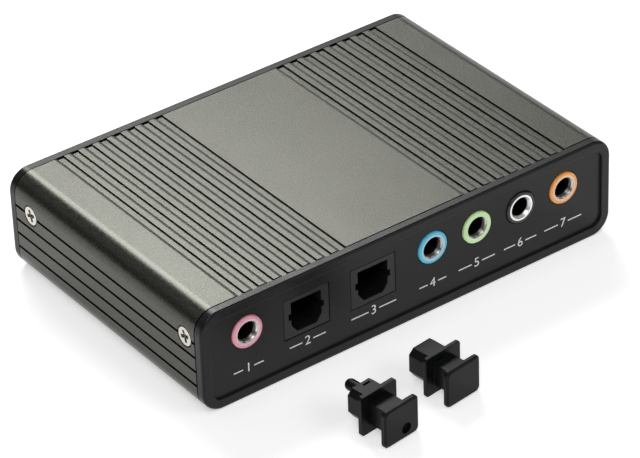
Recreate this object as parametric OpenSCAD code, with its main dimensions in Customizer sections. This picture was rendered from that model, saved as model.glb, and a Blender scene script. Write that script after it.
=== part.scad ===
// Small sound box: a circuit board inside a ribbed aluminium sleeve, closed by two moulded end caps.
// X runs along the front panel, Y towards the rear, Z up. The origin is the centre of the underside.
// All sizes are in millimetres.

/* [Housing] */
// Width of the housing, side to side
body_w = 90; // [81:1:110]
// Depth of the housing, front rim to rear rim
body_d = 59; // [53:1:80]
// Height of the housing
body_h = 20; // [18:0.25:24]
// Radius of the four long edges
corner_r = 4; // [3:0.25:4.5]
// Thickness of the sleeve's roof and floor
top_wall = 1.6; // [1.3:0.1:1.8]
// Thickness of the sleeve's side walls
side_wall = 2; // [1.7:0.1:2.2]

/* [Cooling grooves] */
// Number of grooves in each of the two groups on the roof
groove_count = 8; // [3:1:8]
// Distance from the centre line to the first groove of a group
groove_start = 12.8; // [6:0.2:14]
// Distance from one roof groove to the next
groove_pitch = 3.06; // [2.4:0.02:3.2]
// Width of a roof groove
groove_w = 1.7; // [0.8:0.1:1.9]
// Depth of a roof groove
groove_depth = 0.4; // [0.2:0.05:0.6]
// Number of thin grooves in each side wall
side_groove_count = 4; // [1:1:4]
// Distance from one side groove to the next
side_groove_pitch = 2.92; // [2:0.02:3]
// Width of a side groove
side_groove_w = 0.55; // [0.3:0.05:0.9]
// Depth of a side groove
side_groove_depth = 0.5; // [0.2:0.05:0.7]
// Distance from the roof down to the first side groove
side_groove_drop = 5.9; // [5.4:0.1:6.4]

/* [End caps] */
// Thickness of the lip that covers the sleeve's end
lip_t = 1.8; // [1.6:0.1:3]
// Width of the raised rim round the panel
rim_w = 2; // [1.5:0.1:2.2]
// Depth of the panel behind the rim
face_drop = 0.5; // [0.3:0.05:0.8]
// Shadow gap between the lip and the sleeve
shadow_gap = 0.2; // [0.1:0.05:0.4]
// How far the plug-in collar reaches into the sleeve
collar_len = 7.5; // [7:0.25:9]
// Wall thickness of the collar
collar_wall = 1.2; // [0.9:0.1:1.2]
// Clearance round the collar
collar_fit = 0.15; // [0.1:0.05:0.25]

/* [Screws] */
// Distance of the front screws from the front rim
screw_front = 4.85; // [4.4:0.05:5.5]
// Distance of the rear screws from the rear rim
screw_rear = 6.75; // [4.4:0.05:7]
// Diameter of the countersunk head
head_d = 3.9; // [3.6:0.1:4.2]
// Diameter of the threaded shank
shank_d = 2; // [1.8:0.1:2.2]
// Length of the screw, head included
screw_len = 4.8; // [4:0.1:4.9]

/* [Circuit board] */
// Thickness of the board
board_t = 1.6; // [1.2:0.1:1.8]
// Clear height above the USB socket, under the roof
above_usb = 1; // [0.8:0.1:1.3]
// Clearance round the board in its slots
slot_fit = 0.1; // [0.05:0.05:0.2]
// How far the slot rails stand out from the side walls
rail_w = 1.6; // [1:0.1:2]
// Thickness of a slot rail
rail_t = 1; // [0.8:0.1:1.2]

/* [Audio jacks] */
// Distance from the left side to the first jack's body
left_margin = 5.4; // [5.3:0.1:6]
// Distance from the right side to the last jack's body
right_margin = 6.2; // [5.5:0.1:6.6]
// Share of the panel's free width that lies between two jacks
jack_share = 1.1; // [0.8:0.1:1.6]
// Height of the jacks' axis above the board
jack_axis_h = 6.6; // [6.3:0.1:6.8]
// Diameter of the coloured nose
nose_d = 6.3; // [6:0.1:6.6]
// How far the nose stands out of the panel
nose_proud = 0.35; // [0.1:0.05:0.5]
// Width of the jack's moulded body
jack_w = 8.8; // [8.6:0.1:9]
// Length of the body behind the panel
jack_len = 13; // [12.6:0.1:14]
// Outer diameter of the metal bush
bush_d = 5.1; // [4.9:0.1:5.3]
// Diameter of the bush's mouth
mouth_d = 4.4; // [4:0.1:4.6]
// Length of the metal bush
bush_len = 5; // [4:0.25:5]
// Bore for the audio plug
plug_bore_d = 3.6; // [3.55:0.05:3.7]

/* [Optical sockets] */
// Share of the panel's free width between the microphone jack and the first optical socket
mic_share = 3.05; // [2.4:0.05:3.6]
// Share of the panel's free width between the two optical sockets
optical_share = 4.1; // [3:0.1:4.6]
// Share of the panel's free width between the second optical socket and the row of four jacks
line_share = 3.55; // [2.6:0.05:4]
// Height of the plug hole's centre above the board
optical_axis_h = 5.1; // [5:0.1:5.3]
// Width of the socket's front face
optical_face_w = 9.6; // [9.2:0.1:9.8]
// Height of the socket's front face
optical_face_h = 8.1; // [7.9:0.1:8.4]
// Width of the plug hole
plug_hole_w = 6.4; // [6:0.1:6.5]
// Height of the plug hole
plug_hole_h = 6.25; // [6.1:0.05:6.5]
// Depth of the plug hole
plug_hole_depth = 8; // [7:0.25:8.5]
// Length of the socket's body behind the panel
optical_len = 12; // [11.5:0.25:13]

/* [USB socket] */
// Place of the socket along the rear panel, from the centre
usb_x = 0; // [-3:0.5:6]
// Width of the metal shell
usb_w = 12; // [11.8:0.1:12.2]
// Height of the metal shell
usb_h = 10.9; // [10.6:0.1:11]
// Length of the metal shell
usb_len = 15.6; // [14:0.2:16]
// Thickness of the shell's sheet
usb_sheet = 0.3; // [0.2:0.05:0.4]
// Width of the plug opening
usb_hole_w = 8.45; // [8.3:0.05:8.6]
// Height of the plug opening
usb_hole_h = 7.8; // [7.6:0.05:7.9]

/* [Dust plugs] */
// Width of the square flange
flange_w = 8.3; // [7.8:0.1:8.8]
// Height of the square flange
flange_h = 7.9; // [7.6:0.1:8.4]
// Width of the handle plate
handle_w = 8; // [7.6:0.1:8.4]
// Height of the handle plate
handle_h = 7.4; // [7:0.1:8]
// Thickness of the handle plate
plate_t = 1; // [0.8:0.1:1.2]
// Thickness of the flange
flange_t = 0.8; // [0.6:0.1:1.2]
// Length of the neck on the plug with the pin
neck_in = 4.5; // [3.6:0.1:5.2]
// Length of the neck on the plain plug
neck_out = 3.9; // [3.4:0.1:5]
// Width of the neck
neck_w = 4.4; // [3.6:0.1:5]
// Play of the plug in the socket, on each side
plug_play = 0.15; // [0.1:0.05:0.25]
// Depth to which the plug with the pin fills the socket
entry_in = 3.6; // [3:0.1:4]
// Depth to which the plain plug fills the socket
entry_out = 4.5; // [4:0.1:6]
// Diameter of the pin
pin_d = 2.2; // [1.8:0.1:2.4]
// Length of the pin
pin_len = 3.4; // [2.5:0.1:3.8]
// How far the plugs are turned away from the front panel
plug_turn = 7; // [0:0.5:12]

/* [Hidden] */
$fn = 64;
JACKS = ["mic", "line_in", "front_out", "rear_out", "centre_bass"];
JACK_COLOURS = ["#e08aa0", "#4fb3d9", "#b9dc96", "#1c1d1e", "#e08a3c"];
// Thickness of the nose's lip in front of each bush; the black jack shows its bush
NOSE_LIPS = [0.45, 0.45, 0.45, 0, 0.45];
CAPACITOR_COUNT = 8;

// A cut runs this far past the face that it opens
over = 1;
// Two shapes that are joined reach this far into each other
bite = 0.3;

// Planes of the housing, from front to rear
front_y = -body_d / 2;
panel_y = front_y + face_drop;
lip_back_y = front_y + lip_t;
sleeve_half = body_d / 2 - lip_t - shadow_gap;
collar_depth = lip_t + shadow_gap + collar_len;
body_gap = 0.2;
behind_panel_y = lip_back_y + body_gap;

// Heights of the board and of what stands on it
board_top = body_h - top_wall - above_usb - usb_h;
board_bottom = board_top - board_t;
tail_below = 0.4 * (board_bottom - top_wall);
jack_z = board_top + jack_axis_h;
optical_z = board_top + optical_axis_h;
screw_z = body_h - side_groove_drop;
board_w = body_w - 2 * side_wall - 2 * slot_fit;
board_end_gap = 0.5;
board_half = -lip_back_y - board_end_gap;
low_rail_z = board_bottom - slot_fit - rail_t;
high_rail_z = board_top + slot_fit;

// Places along the front panel: the ports' own widths, and shares of the width that they leave free
optical_shoulder = 0.3;
optical_w = optical_face_w + 2 * optical_shoulder;
PORT_W = [jack_w, optical_w, optical_w, jack_w, jack_w, jack_w, jack_w];
PORT_SHARE = [mic_share, optical_share, line_share, jack_share, jack_share, jack_share];
free_w = body_w - left_margin - right_margin - total(PORT_W, 7);
JACK_X = [port_x(0), port_x(3), port_x(4), port_x(5), port_x(6)];
OPTICAL_X = [port_x(1), port_x(2)];

// Rounding of the cap's rim, outside and inside
rim_round = 0.5;
rim_inner_round = 0.2;
rim_root = 0.6;

// Clearances
hole_fit = 0.1;
press_fit = 0.03;
thread_fit = 0.03;

// Screws
screw_turn = 20;
head_angle_h = 1.1;
head_sink = 0.05;
tip_len = 0.6;
recess_w = 2.2;
recess_slot = 0.55;
recess_depth = 1.1;
boss_depth = 2.9;
boss_reach = 3.2;
pilot_len = side_wall + collar_fit + boss_depth + over;

// Jacks
jack_top = 3.3;
bore_room = 0.15;
back_wall = 0.9;
nose_round = 0.35;
mouth_depth = 0.6;
leaf_t = 0.25;
leaf_h = 1.6;
tail_w = 0.7;
spring_hole_d = 1;
bush_hole_d = 1.2;
lead_hole_d = 0.9;
thin_hole_d = 0.8;
window_h = 2.6;
tip_contact = 11.6;
ring_contact = 8.2;
spring_end = 1.1;
nose_y = panel_y - nose_proud;
bush_back_y = nose_y + bush_len;
jack_back_y = behind_panel_y + jack_len;
bore_end_y = jack_back_y - back_wall;
window_wall = 0.5;
window_y = bush_back_y + window_wall;
root_inset = 0.7;
root_x = jack_w / 2 - root_inset;
bump_x = plug_bore_d / 2 + bore_room;
tail_x = root_x + leaf_t / 2;
tip_tail_y = window_y + tail_w;
ring_tail_y = bore_end_y - tail_w;
bush_tail_y = bush_back_y - tail_w;

// Optical sockets
optical_recess = 0.05;
optical_face_y = panel_y + optical_recess;
optical_back_y = behind_panel_y + optical_len;
hole_chamfer_w = 1.15;
hole_chamfer_h = 1.6;
notch_w = 0.55;
notch_h = 1.25;
notch_rise = 0.25;
light_hole_d = 2.6;
package_w = 5.4;
package_h = 5.6;
package_t = 3;
lens_r = 1.1;
lead_pitch = 1.6;
lead_w = 0.5;
optical_lead_y = optical_back_y - package_t / 2 - hole_fit;

// USB socket
usb_proud = 0.2;
usb_face_y = body_d / 2 - face_drop + usb_proud;
usb_back_y = usb_face_y - usb_len;
usb_recess = 0.2;
usb_hole_chamfer = 1.6;
usb_hole_depth = 9.2;
tongue_w = 5.6;
tongue_h = 3.2;
tongue_len = 8.2;
contact_w = 1;
contact_t = 0.2;
contact_x = 1.25;
contact_len = 6.6;
contact_hole_d = 1.1;
upper_tail = 2.3;
lower_tail = 0.6;
usb_leg_w = 2;
usb_leg_y = 10;
usb_leg_hole_d = 2.3;

// Status light
led_from_usb = 15;
led_x = usb_x + led_from_usb;
led_d = 3;
led_rise = 4.6;
led_flange_d = 3.8;
led_flange_t = 1;
led_body_len = 4;
led_tip_drop = 0.35;
led_tip_y = body_d / 2 - led_tip_drop;
led_holder_w = 4.6;
led_lead_x = 1.27;
led_flange_y = led_tip_y - led_d / 2 - led_body_len;
led_lead_run = 0.8;
led_lead_y = led_flange_y - led_lead_run;

// Small resistors, in a row behind the jacks
resistor_l = 1.6;
resistor_w = 0.8;
resistor_t = 0.5;
resistor_gap = 1.2;
resistor_y = jack_back_y + resistor_gap;
resistor_pitch = 1.5 * resistor_l;

// Other parts on the board: the front ones keep their distance from the jacks, the rear ones from its rear edge
capacitor_d = 5;
capacitor_h = 7;
capacitor_lead = 0.5;
capacitor_span = 2;
capacitor_gap = 1.9;
capacitor_y = resistor_y + resistor_w / 2 + capacitor_gap + capacitor_d / 2;
capacitor_pitch = 1.28 * capacitor_d;
capacitor_inset = 2;
CAPACITOR_X = concat(
    [for (i = [0, 1]) JACK_X[0] - capacitor_inset + i * capacitor_pitch],
    [for (i = [0 : 5]) JACK_X[4] + capacitor_inset - i * capacitor_pitch]
);
rear_y = board_half;
chip_from_rear = 19.2;
chip_y = rear_y - chip_from_rear;
chip_from_mic = 16.2;
chip_x = JACK_X[0] + chip_from_mic;
chip_w = 7;
chip_t = 1.4;
chip_lift = 0.1;
chip_leads = 12;
chip_lead_pitch = 0.5;
chip_lead_w = 0.22;
lead_knee = 0.35;
lead_reach = 1;
lead_t = 0.15;
small_chip_w = 3.9;
small_chip_l = 4.9;
small_lead_pitch = 1.27;
small_lead_w = 0.4;
memory_from_mic = 2.2;
memory_x = JACK_X[0] + memory_from_mic;
amplifier_1_x = JACK_X[2];
amplifier_2_x = (JACK_X[3] + JACK_X[4]) / 2;
amplifier_gap = 6.5;
amplifier_y = capacitor_y + capacitor_d / 2 + amplifier_gap + small_chip_l / 2;
regulator_x = amplifier_2_x;
regulator_from_rear = 10.2;
regulator_y = rear_y - regulator_from_rear;
regulator_w = 6.5;
regulator_l = 3.5;
regulator_pitch = 2.3;
crystal_x = chip_x;
crystal_from_rear = 8.2;
crystal_y = rear_y - crystal_from_rear;
crystal_w = 10;
crystal_l = 3.6;
crystal_h = 3.4;
crystal_flange = 0.4;
crystal_flange_t = 0.5;
can_corner = 0.2;
crystal_span = 4.9;
neck_z = 0.9;
neck_h = 0.5;
neck_groove = 0.25;

// Handle plate and flange of the dust plugs
plug_round = 0.9;
flange_round = 0.6;
plug_crown = 0.3;
plug_crown_inset = 0.35;
cord_hole_d = 2.1;
cord_hole_x = 0.95;
cord_hole_z = -1.65;
pin_rise = 1.4;
slit_x = 0.6;
slit_w = 1.6;
slit_t = 0.5;
slit_depth = 0.6;
slit_inset = 0.6;
top_chamfer_w = 1.1;
top_chamfer_h = 1;
PLUG_IN_PLACE = [-27, -56.3];
PLUG_OUT_PLACE = [-11.9, -53.95];

// Sum of the first n numbers of a list
function total(list, n) = n == 0 ? 0 : list[n - 1] + total(list, n - 1);

// Middle of a port along the front panel, counted from the left
function port_x(k) = -body_w / 2 + left_margin + total(PORT_W, k) + PORT_W[k] / 2
    + free_w * total(PORT_SHARE, k) / total(PORT_SHARE, 6);

// A flat outline with four round corners
module rounded(w, h, r) {
    square([w - 2 * r, h], center = true);
    square([w, h - 2 * r], center = true);
    for (sx = [-1, 1], sy = [-1, 1])
        translate([sx * (w / 2 - r), sy * (h / 2 - r)]) circle(r = r);
}

// Stands a flat drawing up as a front view and draws it out along Y, from y0 to y1
module along_y(y0, y1) {
    translate([0, y1, 0]) rotate([90, 0, 0]) linear_extrude(height = y1 - y0) children();
}

// A round bar along Y
module bar_y(d, y0, y1) {
    translate([0, y0, 0]) rotate([-90, 0, 0]) cylinder(h = y1 - y0, d = d);
}

// A block given by its lowest and highest corners
module block(low, high) {
    translate(low) cube(high - low);
}

// Outline of the housing, drawn in by a wall at the sides and at the top
module outline(in_x, in_z) {
    translate([0, body_h / 2]) rounded(body_w - 2 * in_x, body_h - 2 * in_z, corner_r - min(in_x, in_z));
}

// Section of the extruded sleeve
module sleeve_section() {
    difference() {
        outline(0, 0);
        outline(side_wall, top_wall);
        for (s = [-1, 1], k = [0 : groove_count - 1])
            translate([s * (groove_start + groove_w / 2 + k * groove_pitch), body_h])
                square([groove_w, 2 * groove_depth], center = true);
        for (s = [-1, 1], k = [0 : side_groove_count - 1])
            translate([s * body_w / 2, screw_z - k * side_groove_pitch])
                square([2 * side_groove_depth, side_groove_w], center = true);
    }
    for (s = [-1, 1], z = [low_rail_z, high_rail_z])
        translate([s * (body_w / 2 - side_wall - rail_w / 2 + bite / 2), z + rail_t / 2])
            square([rail_w + bite, rail_t], center = true);
}

// Puts its children at the screw that goes in from the given side at the given depth
module at_screw(side, y) {
    translate([side * (body_w / 2 - head_sink), y, screw_z]) rotate([0, side * 90, 0]) children();
}

module screw_hole_in_sleeve() {
    translate([0, 0, -side_wall - over]) cylinder(h = side_wall + 2 * over, d = shank_d + 2 * hole_fit);
    translate([0, 0, -head_angle_h])
        cylinder(h = head_angle_h, d1 = shank_d + 2 * hole_fit, d2 = head_d + 2 * hole_fit);
    cylinder(h = over, d = head_d + 2 * hole_fit);
}

module housing_sleeve() {
    color("#8c8a84") difference() {
        along_y(-sleeve_half, sleeve_half) sleeve_section();
        for (side = [-1, 1]) {
            at_screw(side, front_y + screw_front) screw_hole_in_sleeve();
            at_screw(side, -front_y - screw_rear) screw_hole_in_sleeve();
        }
    }
}

// Section of the cap's rim: first coordinate outwards from its inner edge, second forwards from the panel
module rim_section() {
    translate([0, -rim_root]) square([rim_w, rim_root]);
    square([rim_w - rim_round, face_drop - rim_inner_round]);
    translate([rim_inner_round, 0]) square([rim_w - rim_round - rim_inner_round, face_drop]);
    translate([rim_inner_round, face_drop - rim_inner_round]) circle(r = rim_inner_round);
    translate([rim_w - rim_round, face_drop - rim_round]) circle(r = rim_round);
}

// The rim, laid round a panel that faces up
module rim() {
    for (k = [0 : 3]) {
        across = k % 2 == 0 ? body_w : body_h;
        reach = k % 2 == 0 ? body_h : body_w;
        rotate([0, 0, 90 * k]) {
            translate([-across / 2 + corner_r, reach / 2 - rim_w, 0]) rotate([90, 0, 90])
                linear_extrude(height = across - 2 * corner_r) rim_section();
            translate([across / 2 - corner_r, reach / 2 - corner_r, 0])
                rotate_extrude(angle = 90) translate([corner_r - rim_w, 0]) rim_section();
        }
    }
}

// Section of the collar that plugs into the sleeve, with a thick boss for each screw
module collar_section() {
    fit_x = side_wall + collar_fit;
    fit_z = top_wall + collar_fit;
    difference() {
        outline(fit_x, fit_z);
        difference() {
            outline(fit_x + collar_wall, fit_z + collar_wall);
            for (s = [-1, 1])
                translate([s * (body_w / 2 - fit_x - boss_depth / 2), screw_z])
                    square([boss_depth, 2 * boss_reach], center = true);
        }
        translate([-body_w / 2, low_rail_z - collar_fit])
            square([body_w, high_rail_z + rail_t + collar_fit - (low_rail_z - collar_fit)]);
    }
}

// End cap without its ports, at the front
module cap_blank(screw_inset) {
    difference() {
        union() {
            along_y(panel_y, lip_back_y) outline(0, 0);
            translate([0, panel_y, body_h / 2]) rotate([90, 0, 0]) rim();
            along_y(lip_back_y - bite, front_y + collar_depth) collar_section();
        }
        for (side = [-1, 1])
            at_screw(side, front_y + screw_inset)
                translate([0, 0, -pilot_len])
                    cylinder(h = pilot_len, d = shank_d + 2 * thread_fit);
    }
}

module front_end_cap() {
    color("#232524") difference() {
        cap_blank(screw_front);
        for (x = JACK_X)
            translate([x, 0, jack_z]) bar_y(nose_d + 2 * hole_fit, front_y - over, lip_back_y + over);
        for (x = OPTICAL_X)
            translate([x, 0, optical_z])
                along_y(front_y - over, lip_back_y + over)
                    square([optical_face_w + 2 * hole_fit, optical_face_h + 2 * hole_fit], center = true);
    }
}

module rear_end_cap() {
    color("#232524") mirror([0, 1, 0]) difference() {
        cap_blank(screw_rear);
        // Opening for the USB socket, also through the collar above it
        block([usb_x - usb_w / 2 - hole_fit, front_y - over, board_top - hole_fit],
              [usb_x + usb_w / 2 + hole_fit, front_y + collar_depth + over, board_top + usb_h + hole_fit]);
        translate([led_x, 0, board_top + led_rise]) bar_y(led_d + 2 * hole_fit, front_y - over, lip_back_y + over);
    }
}

// Countersunk screw with its head's top at z = 0
module screw() {
    color("#c9cacb") difference() {
        union() {
            translate([0, 0, -head_angle_h]) cylinder(h = head_angle_h, d1 = shank_d, d2 = head_d);
            translate([0, 0, -screw_len + tip_len]) cylinder(h = screw_len - tip_len, d = shank_d);
            translate([0, 0, -screw_len]) cylinder(h = tip_len, d1 = shank_d / 2, d2 = shank_d);
        }
        intersection() {
            translate([0, 0, -recess_depth]) cylinder(h = recess_depth + over, d1 = recess_slot, d2 = recess_w * 2);
            union() {
                cube([recess_w, recess_slot, 2 * recess_depth], center = true);
                cube([recess_slot, recess_w, 2 * recess_depth], center = true);
            }
        }
    }
}

module screw_at(side, y) {
    at_screw(side, y) rotate([0, 0, screw_turn]) screw();
}

// Holes that the solder tails pass through, each as [x, y, diameter]
function jack_holes(x) = [
    [x - tail_x, tip_tail_y, spring_hole_d],
    [x + tail_x, ring_tail_y, spring_hole_d],
    [x, bush_tail_y, bush_hole_d]
];
function optical_holes(x) = [for (i = [-1 : 1]) [x + i * lead_pitch, optical_lead_y, lead_hole_d]];
function usb_holes() = concat(
    [for (i = [0 : 3]) [contact_place(i), contact_tail_y(i), contact_hole_d]],
    [for (s = [-1, 1]) [usb_x + s * (usb_w - usb_sheet) / 2, usb_back_y + usb_leg_y, usb_leg_hole_d]]
);
function capacitor_holes(x) = [for (s = [-1, 1]) [x + s * capacitor_span / 2, capacitor_y, thin_hole_d]];
function led_holes() = [for (s = [-1, 1]) [led_x + s * led_lead_x, led_lead_y, lead_hole_d]];
function crystal_holes() = [for (s = [-1, 1]) [crystal_x + s * crystal_span / 2, crystal_y, thin_hole_d]];

// Middle of a USB contact across the socket, and of its tail along the board
function contact_place(i) = usb_x + (i % 2 == 0 ? -1 : 1) * contact_x;
function contact_tail_y(i) = usb_back_y - (i < 2 ? upper_tail : lower_tail);

module circuit_board() {
    holes = concat(
        [for (x = JACK_X) each jack_holes(x)],
        [for (x = OPTICAL_X) each optical_holes(x)],
        [for (x = CAPACITOR_X) each capacitor_holes(x)],
        usb_holes(), led_holes(), crystal_holes()
    );
    color("#1f5a3a") difference() {
        block([-board_w / 2, -board_half, board_bottom], [board_w / 2, board_half, board_top]);
        for (hole = holes)
            translate([hole[0], hole[1], board_bottom - over]) cylinder(h = board_t + 2 * over, d = hole[2]);
    }
}

// Moulded body of an audio jack with its round nose
module jack_housing(i) {
    lip = NOSE_LIPS[i];
    color(JACK_COLOURS[i]) translate([JACK_X[i], 0, jack_z]) difference() {
        union() {
            block([-jack_w / 2, behind_panel_y, board_top - jack_z], [jack_w / 2, jack_back_y, jack_top]);
            translate([0, nose_y, 0]) rotate([-90, 0, 0]) rotate_extrude() {
                translate([0, nose_round]) square([nose_d / 2, behind_panel_y + bite - nose_y - nose_round]);
                square([nose_d / 2 - nose_round, nose_round]);
                translate([nose_d / 2 - nose_round, nose_round]) circle(r = nose_round);
            }
        }
        bar_y(bush_d + 2 * press_fit, nose_y + lip - (lip > 0 ? 0 : over), bush_back_y + press_fit);
        // Flared opening in the lip
        translate([0, nose_y, 0]) rotate([-90, 0, 0]) cylinder(h = lip + bite, d1 = bush_d, d2 = mouth_d - bite);
        bar_y(plug_bore_d + 2 * bore_room, nose_y, bore_end_y);
        // Side windows for the two springs
        block([-jack_w / 2 - over, window_y, -window_h / 2], [jack_w / 2 + over, bore_end_y, window_h / 2]);
        // Channels for the tails, down to the board
        block([-jack_w / 2 - over, tip_tail_y - tail_w, board_top - jack_z - over],
              [-tail_x + leaf_t + hole_fit, tip_tail_y + tail_w, window_h / 2]);
        block([tail_x - leaf_t - hole_fit, ring_tail_y - tail_w, board_top - jack_z - over],
              [jack_w / 2 + over, ring_tail_y + tail_w, window_h / 2]);
        block([-tail_w / 2 - hole_fit, bush_tail_y - tail_w / 2 - hole_fit, board_top - jack_z - over],
              [tail_w / 2 + hole_fit, bush_tail_y + tail_w / 2 + hole_fit, 0]);
    }
}

// Turned metal bush that guides the plug, with its solder tail
module jack_bush(i) {
    start = NOSE_LIPS[i];
    color("#c4c4c0") translate([JACK_X[i], 0, jack_z]) {
        translate([0, nose_y, 0]) rotate([-90, 0, 0]) rotate_extrude()
            polygon([[mouth_d / 2, start], [bush_d / 2, start], [bush_d / 2, bush_len],
                     [plug_bore_d / 2, bush_len], [plug_bore_d / 2, start + mouth_depth]]);
        block([-tail_w / 2, bush_tail_y - tail_w / 2, board_bottom - jack_z - tail_below],
              [tail_w / 2, bush_tail_y + tail_w / 2, -(plug_bore_d + bush_d) / 4]);
    }
}

// Contact spring seen from above: from its root to its bump and its free end
module spring(root_y, bump_y, end_y) {
    sense = sign(bump_y - root_y);
    inner = [[root_x, root_y], [root_x, root_y + sense * tail_w], [bump_x, bump_y], [bump_x + tail_w / 2, end_y]];
    outer = [for (k = [3 : -1 : 0]) inner[k] + [leaf_t, 0]];
    translate([0, 0, -leaf_h / 2]) linear_extrude(height = leaf_h) polygon(concat(inner, outer));
    block([root_x, min(root_y, root_y + sense * tail_w), board_bottom - jack_z - tail_below],
          [root_x + leaf_t, max(root_y, root_y + sense * tail_w), 0]);
}

module tip_spring(i) {
    color("#b8b49c") translate([JACK_X[i], 0, jack_z]) mirror([1, 0, 0])
        spring(tip_tail_y - tail_w / 2, nose_y + tip_contact, nose_y + tip_contact + spring_end);
}

module ring_spring(i) {
    color("#b8b49c") translate([JACK_X[i], 0, jack_z])
        spring(ring_tail_y + tail_w / 2, nose_y + ring_contact, nose_y + ring_contact - spring_end);
}

// Outline of the optical plug hole: square above, cut corners below, a notch at each side
module plug_hole_section(grow = 0) {
    w = plug_hole_w / 2 + grow;
    h = plug_hole_h / 2 + grow;
    polygon([[-w, h], [w, h], [w, -h + hole_chamfer_h], [w - hole_chamfer_w, -h],
             [-w + hole_chamfer_w, -h], [-w, -h + hole_chamfer_h]]);
    translate([0, notch_rise]) square([2 * (w + notch_w), notch_h], center = true);
}

module optical_housing(i) {
    half = optical_w / 2;
    pocket_w = package_w / 2 + hole_fit;
    pocket_h = package_h / 2 + hole_fit;
    color("#2a2c2b") translate([OPTICAL_X[i], 0, optical_z]) difference() {
        union() {
            along_y(optical_face_y, behind_panel_y + bite)
                square([optical_face_w, optical_face_h], center = true);
            block([-half, behind_panel_y, board_top - optical_z],
                  [half, optical_back_y, optical_face_h / 2 + optical_shoulder]);
        }
        along_y(optical_face_y - over, optical_face_y + plug_hole_depth) plug_hole_section();
        bar_y(light_hole_d, optical_face_y, optical_back_y);
        block([-pocket_w, optical_back_y - package_t - hole_fit, -pocket_h],
              [pocket_w, optical_back_y + over, pocket_h]);
        block([-lead_pitch - lead_w, optical_lead_y - lead_w, board_top - optical_z - over],
              [lead_pitch + lead_w, optical_back_y + over, 0]);
    }
}

// Clear package with a lens in front and three leads below
module light_package(i, tint) {
    color(tint) translate([OPTICAL_X[i], 0, optical_z]) {
        block([-package_w / 2, optical_back_y - package_t, -package_h / 2],
              [package_w / 2, optical_back_y - hole_fit, package_h / 2]);
        translate([0, optical_back_y - package_t, 0]) sphere(r = lens_r);
        for (k = [-1 : 1])
            block([k * lead_pitch - lead_w / 2, optical_lead_y - lead_w / 2, board_bottom - optical_z - tail_below],
                  [k * lead_pitch + lead_w / 2, optical_lead_y + lead_w / 2, -package_h / 2 + bite]);
    }
}

module usb_shell() {
    color("#c9c9c6") translate([usb_x, 0, board_top]) {
        difference() {
            block([-usb_w / 2, usb_back_y, 0], [usb_w / 2, usb_face_y, usb_h]);
            block([-usb_w / 2 + usb_sheet, usb_back_y - over, usb_sheet],
                  [usb_w / 2 - usb_sheet, usb_face_y + over, usb_h - usb_sheet]);
        }
        for (s = [-1, 1])
            block([s * (usb_w - usb_sheet) / 2 - usb_sheet / 2, usb_back_y + usb_leg_y - usb_leg_w / 2, -board_t - tail_below],
                  [s * (usb_w - usb_sheet) / 2 + usb_sheet / 2, usb_back_y + usb_leg_y + usb_leg_w / 2, bite]);
    }
}

// Outline of the USB plug opening, with its two cut upper corners
module usb_hole_section() {
    w = usb_hole_w / 2;
    h = usb_hole_h / 2;
    polygon([[-w, -h], [w, -h], [w, h - usb_hole_chamfer], [w - usb_hole_chamfer, h],
             [-w + usb_hole_chamfer, h], [-w, h - usb_hole_chamfer]]);
}

module usb_insulator() {
    half = usb_w / 2 - usb_sheet - press_fit;
    color("#e6e4dc") difference() {
        union() {
            difference() {
                translate([usb_x, 0, board_top])
                    block([-half, usb_back_y, usb_sheet + press_fit],
                          [half, usb_face_y - usb_recess, usb_h - usb_sheet - press_fit]);
                translate([usb_x, 0, board_top + usb_h / 2])
                    along_y(usb_face_y - usb_hole_depth, usb_face_y + over) usb_hole_section();
            }
            translate([usb_x, 0, board_top + usb_h / 2])
                along_y(usb_face_y - usb_hole_depth - bite, usb_face_y - usb_hole_depth + tongue_len)
                    square([tongue_w, tongue_h], center = true);
        }
        for (k = [0 : 3]) contact_shape(k, press_fit);
    }
}

// Contact strip along the tongue, with its tail behind the socket; grown by a clearance for its slot
module contact_shape(i, grow = 0) {
    side = i < 2 ? 1 : -1;
    x = contact_place(i);
    z = board_top + usb_h / 2 + side * (tongue_h / 2 - contact_t / 2);
    tail = contact_tail_y(i);
    block([x - contact_w / 2 - grow, tail - contact_t, z - contact_t / 2 - grow],
          [x + contact_w / 2 + grow, usb_face_y - usb_hole_depth + contact_len, z + contact_t / 2 + grow]);
    block([x - tail_w / 2, tail - contact_t, board_bottom - tail_below],
          [x + tail_w / 2, tail + contact_t, z + contact_t / 2]);
}

module usb_contact(i) {
    color("#d8b45a") contact_shape(i);
}

module status_led() {
    color("#bfe3c4") translate([led_x, 0, board_top + led_rise]) {
        translate([0, led_tip_y - led_d / 2, 0]) sphere(d = led_d);
        bar_y(led_d, led_flange_y, led_tip_y - led_d / 2);
        bar_y(led_flange_d, led_flange_y, led_flange_y + led_flange_t);
        for (s = [-1, 1]) {
            block([s * led_lead_x - lead_w / 2, led_lead_y - lead_w / 2, -lead_w / 2],
                  [s * led_lead_x + lead_w / 2, led_flange_y + bite, lead_w / 2]);
            block([s * led_lead_x - lead_w / 2, led_lead_y - lead_w / 2, board_bottom - tail_below - board_top - led_rise],
                  [s * led_lead_x + lead_w / 2, led_lead_y + lead_w / 2, lead_w / 2]);
        }
    }
}

module led_holder() {
    color("#26282a") difference() {
        block([led_x - led_holder_w / 2, led_flange_y + led_flange_t + hole_fit, board_top],
              [led_x + led_holder_w / 2, board_half, board_top + led_rise + led_d / 4]);
        translate([led_x, 0, board_top + led_rise]) bar_y(led_d + 2 * hole_fit, 0, body_d / 2);
    }
}

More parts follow.
